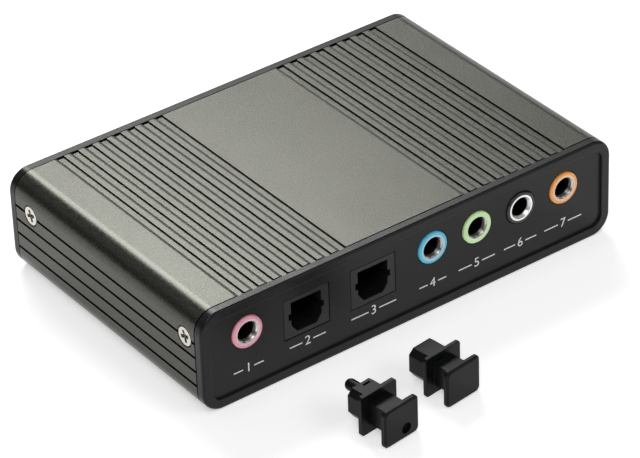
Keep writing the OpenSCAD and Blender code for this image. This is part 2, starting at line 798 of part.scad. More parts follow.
// One gull-wing lead: leaves a package of the given height and ends in a flat foot
module gull_lead(width, package_mid) {
    translate([0, width / 2, 0]) rotate([90, 0, 0]) linear_extrude(height = width)
        polygon([[-bite, package_mid + lead_t / 2], [lead_knee + lead_t, package_mid + lead_t / 2],
                 [lead_knee + lead_t, lead_t], [lead_reach, lead_t], [lead_reach, 0], [lead_knee, 0],
                 [lead_knee, package_mid - lead_t / 2], [-bite, package_mid - lead_t / 2]]);
}

// A chip with leads along the sides at the given quarter turns
module chip(x, y, w, l, t, count, pitch, width, turns) {
    color("#2b2b2d") translate([x, y, board_top]) {
        block([-w / 2, -l / 2, chip_lift], [w / 2, l / 2, chip_lift + t]);
        for (turn = turns, k = [0 : count - 1])
            rotate([0, 0, 90 * turn])
                translate([(turn % 2 == 0 ? w : l) / 2, (k - (count - 1) / 2) * pitch, 0])
                    gull_lead(width, chip_lift + t / 2);
    }
}

module audio_chip() {
    chip(chip_x, chip_y, chip_w, chip_w, chip_t, chip_leads, chip_lead_pitch, chip_lead_w, [0 : 3]);
}

module small_chip(x, y) {
    chip(x, y, small_chip_w, small_chip_l, chip_t, 4, small_lead_pitch, small_lead_w, [0, 2]);
}

module voltage_regulator() {
    color("#2b2b2d") translate([regulator_x, regulator_y, board_top]) {
        block([-regulator_w / 2, -regulator_l / 2, chip_lift], [regulator_w / 2, regulator_l / 2, chip_lift + chip_t]);
        for (k = [-1 : 1])
            translate([k * regulator_pitch, -regulator_l / 2, 0]) rotate([0, 0, -90])
                gull_lead(tail_w, chip_lift + chip_t / 2);
        translate([0, regulator_l / 2, 0]) rotate([0, 0, 90]) gull_lead(regulator_l, chip_lift + chip_t / 2);
    }
}

module crystal() {
    color("#cfcfca") translate([crystal_x, crystal_y, board_top]) {
        linear_extrude(height = crystal_flange_t) rounded(crystal_w + 2 * crystal_flange, crystal_l + 2 * crystal_flange, crystal_l / 2);
        linear_extrude(height = crystal_h) rounded(crystal_w, crystal_l, crystal_l / 2 - can_corner);
        for (s = [-1, 1])
            translate([s * crystal_span / 2, 0, -board_t - tail_below])
                cylinder(h = board_t + tail_below + bite, d = capacitor_lead);
    }
}

// Upright electrolytic capacitor with the rolled neck near its foot
module capacitor(i) {
    color("#2d3550") translate([CAPACITOR_X[i], capacitor_y, board_top]) {
        cylinder(h = neck_z, d = capacitor_d);
        cylinder(h = capacitor_h, d = capacitor_d - 2 * neck_groove);
        translate([0, 0, neck_z + neck_h]) cylinder(h = capacitor_h - neck_z - neck_h, d = capacitor_d);
        for (s = [-1, 1])
            translate([s * capacitor_span / 2, 0, -board_t - tail_below])
                cylinder(h = board_t + tail_below + bite, d = capacitor_lead);
    }
}

// Small block-shaped resistors: two behind each jack, and a row beside the audio chip
module chip_resistors() {
    places = concat(
        [for (x = JACK_X, s = [-1, 1]) [x + s * resistor_l, resistor_y]],
        [for (k = [0 : 3]) [chip_x + (k - 1.5) * resistor_pitch, chip_y + chip_w / 2 + lead_reach + resistor_gap]]
    );
    color("#33302c") for (place = places)
        translate([place[0], place[1], board_top])
            block([-resistor_l / 2, -resistor_w / 2, 0], [resistor_l / 2, resistor_w / 2, resistor_t]);
}

// Part of a dust plug that enters the socket
module entry_section() {
    w = plug_hole_w / 2 - plug_play;
    h = plug_hole_h / 2 - plug_play;
    polygon([[-w, h - top_chamfer_h], [-w + top_chamfer_w, h], [w - top_chamfer_w, h], [w, h - top_chamfer_h],
             [w, -h + hole_chamfer_h], [w - hole_chamfer_w, -h], [-w + hole_chamfer_w, -h], [-w, -h + hole_chamfer_h]]);
}

// Slightly crowned plate that the fingers hold, facing the front
module handle_plate() {
    hull() {
        along_y(plug_crown, plate_t) rounded(handle_w, handle_h, plug_round, $fn = 32);
        along_y(0, plug_crown)
            rounded(handle_w - 2 * plug_crown_inset, handle_h - 2 * plug_crown_inset, plug_round, $fn = 32);
    }
}

// Dust plug lying on the lower edges of its handle and its flange
module dust_plug(place, neck, entry, with_pin) {
    end = flange_t + entry;
    color("#1b1c1c") translate([place[0], place[1], 0]) rotate([0, 0, plug_turn]) translate([handle_w / 2, 0, 0]) {
        difference() {
            translate([0, 0, handle_h / 2]) handle_plate();
            if (with_pin)
                translate([cord_hole_x, 0, handle_h / 2 + cord_hole_z]) bar_y(cord_hole_d, -over, plate_t + over);
        }
        translate([0, 0, flange_h / 2]) {
            along_y(plate_t - bite / 2, plate_t + neck + bite / 2) square(neck_w, center = true);
            translate([0, plate_t + neck, 0]) {
                along_y(0, flange_t) rounded(flange_w, flange_h, flange_round);
                difference() {
                    along_y(flange_t - bite / 2, end) entry_section();
                    if (with_pin)
                        block([slit_x - slit_w / 2, end - slit_inset - slit_t, plug_hole_h / 2 - slit_depth],
                              [slit_x + slit_w / 2, end - slit_inset, plug_hole_h / 2 + over]);
                }
                if (with_pin)
                    translate([0, 0, pin_rise]) {
                        bar_y(pin_d, flange_t, end + pin_len - pin_d / 2);
                        translate([0, end + pin_len - pin_d / 2, 0]) sphere(d = pin_d);
                    }
            }
        }
    }
}

module dust_plug_in() { dust_plug(PLUG_IN_PLACE, neck_in, entry_in, true); }
module dust_plug_out() { dust_plug(PLUG_OUT_PLACE, neck_out, entry_out, false); }

housing_sleeve();
front_end_cap();
rear_end_cap();
screw_at(-1, front_y + screw_front);  // screw_left_front
screw_at(-1, -front_y - screw_rear);  // screw_left_rear
screw_at(1, front_y + screw_front);  // screw_right_front
screw_at(1, -front_y - screw_rear);  // screw_right_rear
circuit_board();
for (i = [0 : len(JACKS) - 1]) {
    jack_housing(i);
    jack_bush(i);
    tip_spring(i);
    ring_spring(i);
}
optical_housing(0);  // optical_in_housing
optical_housing(1);  // optical_out_housing
light_package(0, "#6a5a62");  // optical_receiver
light_package(1, "#a88888");  // optical_emitter
usb_shell();
usb_insulator();
for (i = [0 : 3])
    usb_contact(i);
status_led();
led_holder();
audio_chip();
small_chip(memory_x, chip_y);  // memory_chip
small_chip(amplifier_1_x, amplifier_y);  // amplifier_1
small_chip(amplifier_2_x, amplifier_y);  // amplifier_2
voltage_regulator();
crystal();
for (i = [0 : CAPACITOR_COUNT - 1])
    capacitor(i);
chip_resistors();
dust_plug_in();
dust_plug_out();
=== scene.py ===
"""Looks of a small ribbed sound box with its ports, its board and its two loose dust plugs."""

import logging
import math
from dataclasses import dataclass, replace
from enum import Enum
from typing import Sequence

import bmesh
import bpy
from mathutils import Matrix, Vector


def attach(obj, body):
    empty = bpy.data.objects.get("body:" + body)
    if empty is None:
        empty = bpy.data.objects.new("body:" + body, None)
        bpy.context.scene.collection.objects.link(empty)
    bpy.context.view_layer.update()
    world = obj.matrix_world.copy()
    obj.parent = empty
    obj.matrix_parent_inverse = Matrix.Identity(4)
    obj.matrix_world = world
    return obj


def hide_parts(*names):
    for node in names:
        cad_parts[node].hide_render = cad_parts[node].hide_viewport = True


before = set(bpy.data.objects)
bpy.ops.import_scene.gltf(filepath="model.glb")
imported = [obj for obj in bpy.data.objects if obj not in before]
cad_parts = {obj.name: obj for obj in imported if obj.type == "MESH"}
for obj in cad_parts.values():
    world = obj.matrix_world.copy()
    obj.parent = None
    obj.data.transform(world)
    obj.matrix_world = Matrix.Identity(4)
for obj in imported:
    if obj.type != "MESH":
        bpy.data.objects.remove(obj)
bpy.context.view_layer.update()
MM = 0.001
BODY = "root"
LOG = logging.getLogger("sound_box")

Colour = tuple[float, float, float]
Point = tuple[float, float, float]
Outline = Sequence[tuple[float, float]]
Piece = bpy.types.Object
Socket = bpy.types.NodeSocket
Source = Socket | bpy.types.ID | Sequence[float] | float | str

# Painted shade: the black that a hole is painted behind a given depth.
PAINTED_SHADE_BLACK: Colour = (0.012, 0.012, 0.012)
ZERO: Point = (0.0, 0.0, 0.0)
UPRIGHT = Matrix.Rotation(math.pi / 2, 4, "X")
SCREW_Y = (-24.65 * MM, 22.75 * MM)
SCREW_Z = 14.1 * MM
PORTS = {"mic": -35.2 * MM, "optical_in": -22.65 * MM, "optical_out": -8.35 * MM, "line_in": 4.7 * MM,
         "front_out": 14.6 * MM, "rear_out": 24.5 * MM, "centre_bass": 34.4 * MM}


# ---- nodes


def plug_in(socket: Socket, source: Source) -> None:
    """Links a socket to another one, or sets it to a plain value.

    Args:
        socket: the input.
        source: the socket that goes in, or the value.
    """
    if isinstance(source, Socket):
        socket.id_data.links.new(source, socket)
    else:
        socket.default_value = source


def add_node(tree: bpy.types.NodeTree, kind: str, *links: tuple[str | int, Source], **options: str) -> bpy.types.Node:
    """Adds a node to a tree.

    Args:
        tree: the tree.
        kind: the node's type.
        links: pairs of an input and what goes in, a socket or a plain value.
        options: properties of the node, set before its inputs.

    Returns:
        The node.
    """
    node = tree.nodes.new(kind)
    for key, value in options.items():
        setattr(node, key, value)
    for target, source in links:
        plug_in(node.inputs[target], source)
    return node


# ---- materials


class Grain(Enum):
    """The kinds of surface that the pieces have."""

    BLASTED = "blasted"
    MOULDED = "moulded"
    GLOSSY = "glossy"
    TURNED = "turned"
    ROLLED = "rolled"
    LAMINATE = "laminate"
    PRINTED = "printed"


class Shader:
    """A node material under construction; every pattern reads Object coordinates."""

    def __init__(self, name: str) -> None:
        """Starts an empty material with a Principled shader.

        Args:
            name: name of the material.
        """
        self.material = bpy.data.materials.new(name)
        self.material.use_nodes = True
        self.tree = self.material.node_tree
        self.tree.nodes.clear()
        self.surface = add_node(self.tree, "ShaderNodeBsdfPrincipled")
        add_node(self.tree, "ShaderNodeOutputMaterial", ("Surface", self.surface.outputs["BSDF"]))
        self.place = add_node(self.tree, "ShaderNodeTexCoord").outputs["Object"]

    def feed(self, target: str, source: Source) -> None:
        """Gives one of the shader's inputs a pattern or a constant."""
        plug_in(self.surface.inputs[target], source)

    def noise(self, size: float, detail: float = 2.0, stretch: Point = (1.0, 1.0, 1.0)) -> Socket:
        """Adds a noise pattern.

        Args:
            size: size of one blot, in metres.
            detail: number of finer octaves.
            stretch: scale of the coordinates; a small value draws the blots out along that axis.

        Returns:
            The socket with values from 0 to 1.
        """
        place = add_node(self.tree, "ShaderNodeMapping", ("Vector", self.place), ("Scale", stretch)).outputs["Vector"]
        return add_node(self.tree, "ShaderNodeTexNoise", ("Vector", place), ("Scale", 1.0 / size),
                        ("Detail", detail)).outputs["Fac"]

    def cells(self, size: float) -> Socket:
        """Returns the distance pattern of Voronoi cells of that size, in metres."""
        return add_node(self.tree, "ShaderNodeTexVoronoi", ("Vector", self.place),
                        ("Scale", 1.0 / size)).outputs["Distance"]

    def depth(self) -> Socket:
        """Returns the place along Y, in metres."""
        return add_node(self.tree, "ShaderNodeSeparateXYZ", ("Vector", self.place)).outputs["Y"]

    def span(self, source: Socket, low: float = 0.0, high: float = 1.0, start: float = 0.3, end: float = 0.7) -> Socket:
        """Maps a pattern's values to others and clamps them.

        Args:
            source: the pattern.
            low: result where the pattern is at start or below.
            high: result where it is at end or above.
            start: the pattern's value that becomes low.
            end: the pattern's value that becomes high.

        Returns:
            The mapped pattern.
        """
        return add_node(self.tree, "ShaderNodeMapRange", ("Value", source), ("From Min", start), ("From Max", end),
                        ("To Min", low), ("To Max", high)).outputs["Result"]

    def blend(self, factor: Socket, first: Colour | Socket, second: Colour) -> Socket:
        """Mixes two colours by a pattern.

        Args:
            factor: the pattern.
            first: the colour, or the colour socket, where the pattern is 0.
            second: the colour where it is 1.

        Returns:
            The colour socket.
        """
        start = first if isinstance(first, Socket) else (*first, 1.0)
        return add_node(self.tree, "ShaderNodeMix", ("Factor", factor), ("A", start), ("B", (*second, 1.0)),
                        data_type="RGBA").outputs["Result"]

    def relief(self, height: Socket, depth: float, strength: float, below: Socket | None = None) -> Socket:
        """Turns a pattern into a bump.

        Args:
            height: the pattern.
            depth: height of the relief, in metres.
            strength: share of the bump that shows.
            below: normal of a coarser relief that this one lies on.

        Returns:
            The normal socket.
        """
        node = add_node(self.tree, "ShaderNodeBump", ("Height", height), ("Strength", strength), ("Distance", depth))
        if below is not None:
            plug_in(node.inputs["Normal"], below)
        return node.outputs["Normal"]


def scaled(colour: Colour, share: float) -> Colour:
    """Returns a colour made lighter or darker by a share."""
    return tuple(min(1.0, part * share) for part in colour)


@dataclass(frozen=True)
class Finish:
    """Finish of a piece: its colour, its gloss and the grain of its surface."""

    name: str
    slot: str
    grain: Grain
    colour: Colour
    metallic: float = 0.0
    roughness: float = 0.4
    tone: float = 0.08
    speck: float = 1.9
    grain_size: float = 0.25 * MM
    grain_depth: float = 0.01 * MM
    specular: float = 0.5
    coat: float = 0.0
    coat_roughness: float = 0.12
    subsurface: float = 0.0
    subsurface_scale: float = 0.4 * MM
    # Painted shade: behind this place along Y the colour fades to black over the edge width, for the shade deep in a
    # hole.
    black_behind: float | None = None
    black_edge: float = 0.2 * MM

    def material(self) -> bpy.types.Material:
        """Builds the node material, the first time that it is asked for.

        Returns:
            The material.
        """
        ready = bpy.data.materials.get(self.name)
        if ready is not None:
            return ready
        shader = Shader(self.name)
        shader.feed("Metallic", self.metallic)
        shader.feed("Specular IOR Level", self.specular)
        shader.feed("Coat Weight", self.coat)
        shader.feed("Coat Roughness", self.coat_roughness)
        shader.feed("Subsurface Weight", self.subsurface)
        shader.feed("Subsurface Scale", self.subsurface_scale)
        getattr(self, "_" + self.grain.value)(shader)
        return shader.material

    def _drift(self, shader: Shader, size: float, detail: float = 3.0) -> Socket:
        """Returns the colour, which drifts a little over the surface."""
        cloud = shader.span(shader.noise(size, detail))
        return shader.blend(cloud, scaled(self.colour, 1 - self.tone), scaled(self.colour, 1 + self.tone))

    def _tint(self, shader: Shader, size: float) -> None:
        """Feeds the drifting colour in, and paints it black behind a given place along Y if the finish has one, as
        painted shade deep in a hole.

        Args:
            shader: the material's nodes.
            size: size of one blot of the drift, in metres.
        """
        tint = self._drift(shader, size)
        if self.black_behind is not None:
            shade_mask = shader.span(shader.depth(), start=self.black_behind - self.black_edge,
                                 end=self.black_behind + self.black_edge)
            tint = shader.blend(shade_mask, tint, PAINTED_SHADE_BLACK)
        shader.feed("Base Color", tint)

    def _gloss(self, shader: Shader, pattern: Socket, less: float = 0.05, more: float = 0.08) -> None:
        """Lets the roughness vary with a pattern, from a little less to a little more than its value."""
        shader.feed("Roughness", shader.span(pattern, self.roughness - less, self.roughness + more))

    def _bump(self, shader: Shader, pattern: Socket, share: float) -> None:
        """Raises a pattern by the grain's depth, of which a share shows."""
        shader.feed("Normal", shader.relief(pattern, self.grain_depth, share))

    def _blasted(self, shader: Shader) -> None:
        """Bead-blasted and anodised metal: a fine even grain and faint lines from the die, along Y.

        Args:
            shader: the material's nodes.
        """
        grain = shader.noise(self.grain_size, detail=3.0)
        speck = shader.span(grain, start=0.44, end=0.7)
        base = self._drift(shader, 9 * MM, detail=2.0)
        shader.feed("Base Color", shader.blend(speck, base, scaled(self.colour, self.speck)))
        self._gloss(shader, grain, more=0.07)
        lines = shader.noise(0.5 * MM, stretch=(1.0, 0.012, 1.0))
        drawn = shader.relief(lines, depth=0.004 * MM, strength=0.5)
        shader.feed("Normal", shader.relief(grain, self.grain_depth, 0.6, below=drawn))

    def _moulded(self, shader: Shader) -> None:
        """Plastic from a spark-eroded mould: small rounded pits, slightly uneven gloss.

        Args:
            shader: the material's nodes.
        """
        self._tint(shader, 6 * MM)
        self._gloss(shader, shader.noise(7 * MM), less=0.04, more=0.05)
        self._bump(shader, shader.noise(self.grain_size, detail=1.5), share=0.7)

    def _glossy(self, shader: Shader) -> None:
        """Smooth plastic with soft flow marks and fine scratches.

        Args:
            shader: the material's nodes.
        """
        self._tint(shader, 3 * MM)
        self._gloss(shader, shader.noise(0.3 * MM, detail=3.0, stretch=(1.0, 0.08, 1.0)))
        self._bump(shader, shader.noise(1.4 * MM, detail=1.0), share=0.4)

    def _turned(self, shader: Shader) -> None:
        """Plated metal with fine tool rings and a few duller patches.

        Args:
            shader: the material's nodes.
        """
        self._tint(shader, 1.2 * MM)
        self._gloss(shader, shader.noise(0.6 * MM), more=0.1)
        self._bump(shader, shader.noise(0.35 * MM, stretch=(0.3, 6.0, 0.3)), share=0.5)

    def _rolled(self, shader: Shader) -> None:
        """Rolled sheet metal: long fine streaks and a mottled plating.

        Args:
            shader: the material's nodes.
        """
        self._tint(shader, 2.5 * MM)
        streaks = shader.noise(0.4 * MM, detail=3.0, stretch=(1.0, 0.06, 1.0))
        self._gloss(shader, streaks, less=0.07, more=0.1)
        self._bump(shader, streaks, share=0.4)

    def _laminate(self, shader: Shader) -> None:
        """Circuit board: glass weave under the solder mask, with lighter copper areas.

        Args:
            shader: the material's nodes.
        """
        copper = shader.span(shader.noise(5 * MM, detail=0.0), start=0.49, end=0.52)
        shader.feed("Base Color", shader.blend(copper, self.colour, scaled(self.colour, self.speck)))
        self._gloss(shader, shader.noise(2 * MM))
        self._bump(shader, shader.cells(0.5 * MM), share=0.3)

    def _printed(self, shader: Shader) -> None:
        """Pad-printed ink: slightly uneven cover on the panel's texture.

        Args:
            shader: the material's nodes.
        """
        thin = shader.span(shader.noise(0.35 * MM), start=0.35, end=0.6)
        shader.feed("Base Color", shader.blend(thin, scaled(self.colour, 1 - self.tone), self.colour))
        self._gloss(shader, shader.noise(0.5 * MM), more=0.1)
        self._bump(shader, shader.noise(self.grain_size), share=0.4)


SLEEVE = Finish(
    "anodised_aluminium", "anodised_sleeve", Grain.BLASTED, (0.0568, 0.0572, 0.0497), metallic=1.0, roughness=0.31,
    tone=0.06, grain_size=0.26 * MM, grain_depth=0.012 * MM)
CAP = Finish(
    "black_cap_plastic", "cap_plastic", Grain.MOULDED, (0.0058, 0.0066, 0.0060), roughness=0.30, tone=0.10,
    grain_size=0.22 * MM, grain_depth=0.006 * MM, specular=0.23)
OPTICAL = replace(
    CAP, name="grey_socket_plastic", slot="optical_plastic", colour=(0.007, 0.0078, 0.0072), roughness=0.36, tone=0.08,
    grain_size=0.2 * MM, specular=0.34)
INSULATOR = Finish(
    "white_insulator", "insulator_white", Grain.MOULDED, (0.74, 0.73, 0.68), roughness=0.42, tone=0.04,
    grain_size=0.2 * MM, grain_depth=0.005 * MM, subsurface=0.15)
CHIP = Finish(
    "black_chip_resin", "chip_black", Grain.MOULDED, (0.02, 0.02, 0.021), roughness=0.5, tone=0.1,
    grain_size=0.15 * MM, grain_depth=0.008 * MM)
PLUG = Finish(
    "black_plug_plastic", "dust_plug_plastic", Grain.MOULDED, (0.0045, 0.005, 0.005), roughness=0.38, tone=0.12,
    grain_depth=0.012 * MM, specular=0.14)
# Painted shade: a near-black copy of the plug plastic for the disc that shuts the handle's hole, standing in for the
# shade deep in it.
DEEP = replace(PLUG, name="shaded_plug_hole", colour=(0.0012, 0.0013, 0.0013), roughness=0.6, specular=0.03)
SCREW = Finish(
    "bright_nickel", "screw_nickel", Grain.TURNED, (0.62, 0.60, 0.55), metallic=1.0, roughness=0.24, tone=0.06,
    grain_depth=0.004 * MM)
BUSH = replace(SCREW, name="plated_bush", slot="bush_nickel", colour=(0.62, 0.61, 0.58))
# Painted shade: this bush is painted black from 0.6 mm behind the nose's face, for the shade deep in the bore of the
# black jack.
RING = replace(
    BUSH, name="bright_bush", colour=(0.90, 0.90, 0.88), roughness=0.36, tone=0.04, black_behind=-28.75 * MM)
# Painted shade: a darkened copy of the plated bush, for the shade in the bores of the four coloured jacks.
BORE = replace(BUSH, name="shaded_bush", colour=(0.16, 0.155, 0.145), roughness=0.34)
SHELL = replace(
    SCREW, name="tinned_steel", slot="shell_steel", grain=Grain.ROLLED, colour=(0.66, 0.66, 0.64), roughness=0.3)
SPRING = replace(SHELL, name="spring_bronze", slot="spring_bronze", colour=(0.62, 0.50, 0.32), tone=0.08)
GOLD = replace(
    SHELL, name="gold_contact", slot="contact_gold", colour=(0.86, 0.62, 0.24), roughness=0.2, grain_depth=0.003 * MM)
RESIN = Finish(
    "tinted_resin", "light_package", Grain.GLOSSY, (0.22, 0.09, 0.11), roughness=0.18, grain_depth=0.003 * MM,
    subsurface=0.1)
LENS = Finish(
    "status_lens", "led_lens", Grain.GLOSSY, (0.42, 0.72, 0.48), roughness=0.12, tone=0.04, grain_depth=0.002 * MM,
    subsurface=0.4)
CAN = Finish("capacitor_sleeve", "capacitor_sleeve", Grain.GLOSSY, (0.015, 0.022, 0.07), roughness=0.3)
BOARD = Finish("green_board", "board_green", Grain.LAMINATE, (0.012, 0.075, 0.03), roughness=0.3, coat=0.3)
INK = Finish(
    "white_ink", "cap_plastic", Grain.PRINTED, (0.80, 0.80, 0.78), roughness=0.5, tone=0.2, grain_size=0.2 * MM,
    grain_depth=0.004 * MM)
# Painted shade: this plastic is painted black from 0.75 mm behind the nose's face, for the shade in the jack's hole;
# the blue, green and orange noses copy it.
PINK = Finish(
    "pink_jack", "mic_jack_plastic", Grain.GLOSSY, (0.84, 0.34, 0.43), roughness=0.26, tone=0.05, subsurface=0.1,
    black_behind=-28.6 * MM)
NOSES = {
    "mic": PINK,
    "line_in": replace(PINK, name="blue_jack", slot="line_in_jack_plastic", colour=(0.10, 0.55, 0.78)),
    "front_out": replace(PINK, name="green_jack", slot="front_out_jack_plastic", colour=(0.60, 0.90, 0.42)),
    "rear_out": Finish("black_jack", "rear_out_jack_plastic", Grain.GLOSSY, (0.012, 0.012, 0.013), roughness=0.28),
    "centre_bass": replace(PINK, name="orange_jack", slot="centre_bass_jack_plastic", colour=(0.92, 0.38, 0.09)),
}


# ---- mesh tools


def add_object(name: str, data: bpy.types.ID) -> Piece:
    """Adds a mesh or other data to the scene as an object at the origin.

    Args:
        name: name of the object.
        data: what it holds.

    Returns:
        The object.
    """
    piece = bpy.data.objects.new(name, data)
    bpy.context.scene.collection.objects.link(piece)
    return piece


def finished(name: str, work: bmesh.types.BMesh) -> Piece:
    """Writes an edited mesh to a new object and frees it.

    Args:
        name: name of the object.
        work: the edited mesh.

    Returns:
        The object.
    """
    mesh = bpy.data.meshes.new(name)
    work.to_mesh(mesh)
    work.free()
    return add_object(name, mesh)


def settle(piece: Piece) -> Piece:
    """Turns an object with modifiers, a curve or a text into a plain mesh object of the same name.

    Args:
        piece: the object; it is removed.

    Returns:
        The new object, at the origin.
    """
    name, place = piece.name, piece.matrix_world.copy()
    bpy.context.view_layer.update()
    held = piece.evaluated_get(bpy.context.evaluated_depsgraph_get())
    mesh = bpy.data.meshes.new_from_object(held)
    bpy.data.objects.remove(piece)
    mesh.transform(place)
    mesh.name = name
    return add_object(name, mesh)


def make_whole(work: bmesh.types.BMesh, weld: float, flat: float) -> None:
    """Joins a mesh's loose faces, makes its flat sides single faces and turns them outwards.

    Args:
        work: the mesh.
        weld: vertices nearer to each other than this, in metres, become one.
        flat: faces that differ by less than this, in degrees, become one.
    """
    bmesh.ops.remove_doubles(work, verts=work.verts, dist=weld)
    bmesh.ops.dissolve_limit(work, angle_limit=math.radians(flat), verts=work.verts, edges=work.edges)
    bmesh.ops.recalc_face_normals(work, faces=work.faces)


def clear_slivers(mesh: bpy.types.Mesh, shortest: float = 0.0004 * MM) -> None:
    """Takes out the faces without area that cutting and bevelling leave, because they upset the shading.

    Args:
        mesh: the mesh.
        shortest: edges shorter than this, in metres, are dissolved.
    """
    work = bmesh.new()
    work.from_mesh(mesh)
    bmesh.ops.dissolve_degenerate(work, dist=shortest, edges=work.edges)
    work.to_mesh(mesh)
    work.free()


def even_normals(mesh: bpy.types.Mesh, angle: float, sliver: float = 1e-13, least: float = 1e-24) -> None:
    """Shades a mesh smoothly, with each large face keeping its own direction up to its rounded edges.

    Args:
        mesh: the mesh.
        angle: faces that differ by more than this, in degrees, meet in a sharp edge.
        sliver: a face smaller than this, in square metres, takes its neighbours' direction.
        least: weight that even a face without area has.
    """
    mesh.shade_smooth()
    limit = math.cos(math.radians(angle))
    faces = [(face.normal.copy(), face.area * face.area + least) for face in mesh.polygons]
    around: list[list[int]] = [[] for _ in mesh.vertices]
    for face in mesh.polygons:
        for vertex in face.vertices:
            around[vertex].append(face.index)
    normals = [Vector()] * len(mesh.loops)
    for face in mesh.polygons:
        own = faces[face.index][0]
        for loop in face.loop_indices:
            total = Vector()
            for index in around[mesh.loops[loop].vertex_index]:
                direction, weight = faces[index]
                if face.area < sliver or direction.dot(own) > limit:
                    total += direction * weight
            normals[loop] = total.normalized() if total.length_squared > 0 else own
    mesh.normals_split_custom_set(normals)


def dress(piece: Piece, finish: Finish, nodes: Sequence[str] = (), sharp: float = 50.0) -> None:
    """Gives a finished piece its material and shading, and attaches it to the root body.

    Args:
        piece: the plain mesh object.
        finish: its finish.
        nodes: CAD nodes that it stands for.
        sharp: angle in degrees above which an edge stays sharp.
    """
    piece.data.materials.clear()
    piece.data.materials.append(finish.material())
    clear_slivers(piece.data)
    even_normals(piece.data, sharp)
    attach(piece, BODY)
    if nodes:
        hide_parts(*nodes)
    LOG.info("%s: %d faces", piece.name, len(piece.data.polygons))


def paint(node: str, finish: Finish) -> None:
    """Gives a CAD node, kept as it is, a better material.

    Args:
        node: name of the CAD node.
        finish: its finish.
    """
    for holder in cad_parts[node].material_slots:
        holder.material = finish.material()
    LOG.info("%s: kept with %s", node, finish.name)


def soften(piece: Piece, width: float, segments: int = 2, angle: float = 30.0) -> Piece:
    """Rounds a piece's sharp edges with a Bevel modifier.

    Args:
        piece: the object; it is removed.
        width: width of the rounding, in metres.
        segments: faces across it.
        angle: only edges sharper than this, in degrees, are rounded.

    Returns:
        The plain result.
    """
    bevel = piece.modifiers.new("round", "BEVEL")
    bevel.width = width
    bevel.segments = segments
    bevel.limit_method = "ANGLE"
    bevel.angle_limit = math.radians(angle)
    return settle(piece)


def softened_node(node: str, finish: Finish, width: float, segments: int = 2) -> None:
    """Replaces a CAD node by a merged copy of it with rounded edges.

    Args:
        node: name of the CAD node.
        finish: finish of the copy.
        width: width of the rounding, in metres.
        segments: faces across it.
    """
    work = bmesh.new()
    work.from_mesh(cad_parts[node].data)
    make_whole(work, weld=0.0005 * MM, flat=0.4)
    piece = finished(node + "_dressed", work)
    dress(soften(piece, width, segments), finish, [node])


def lathe(name: str, profile: Outline, steps: int = 64) -> Piece:
    """Turns a closed profile round the Y axis.

    Args:
        name: name of the object.
        profile: pairs of a radius and a place along Y, in metres.
        steps: number of faces round the axis.

    Returns:
        The object.
    """
    work = bmesh.new()
    rings = []
    for step in range(steps):
        angle = 2 * math.pi * step / steps
        rings.append([work.verts.new((r * math.cos(angle), y, r * math.sin(angle))) for r, y in profile])
    for this, after in zip(rings, rings[1:] + rings[:1]):
        for a in range(len(profile)):
            b = (a + 1) % len(profile)
            work.faces.new((this[a], this[b], after[b], after[a]))
    bmesh.ops.recalc_face_normals(work, faces=work.faces)
    return finished(name, work)


def point_object(name: str, places: Sequence[Point], turns: Sequence[Point] | None = None) -> Piece:
    """Makes an object of loose points that each carry a turn, in radians.

    Args:
        name: name of the object.
        places: the points, in metres.
        turns: one turn for each point; without turns all are unturned.

    Returns:
        The object.
    """
    mesh = bpy.data.meshes.new(name)
    mesh.from_pydata(places, [], [])
    held = mesh.attributes.new("turn", "FLOAT_VECTOR", "POINT")
    for index, turn in enumerate(turns or [ZERO] * len(places)):
        held.data[index].vector = turn
    return add_object(name, mesh)


def corner_loop(width: float, height: float, radius: float, steps: int) -> Outline:
    """Draws a rectangle with round corners, centred on the origin.

    Args:
        width: its width, in metres.
        height: its height, in metres.
        radius: radius of its corners, in metres.
        steps: number of steps in each corner.

    Returns:
        The outline's points, anticlockwise.
    """
    points = []
    for quarter, (sx, sz) in enumerate(((1, 1), (-1, 1), (-1, -1), (1, -1))):
        for step in range(steps + 1):
            angle = math.pi / 2 * (quarter + step / steps)
            points.append((sx * (width / 2 - radius) + radius * math.cos(angle),
                           sz * (height / 2 - radius) + radius * math.sin(angle)))
    return points


# ---- geometry trees


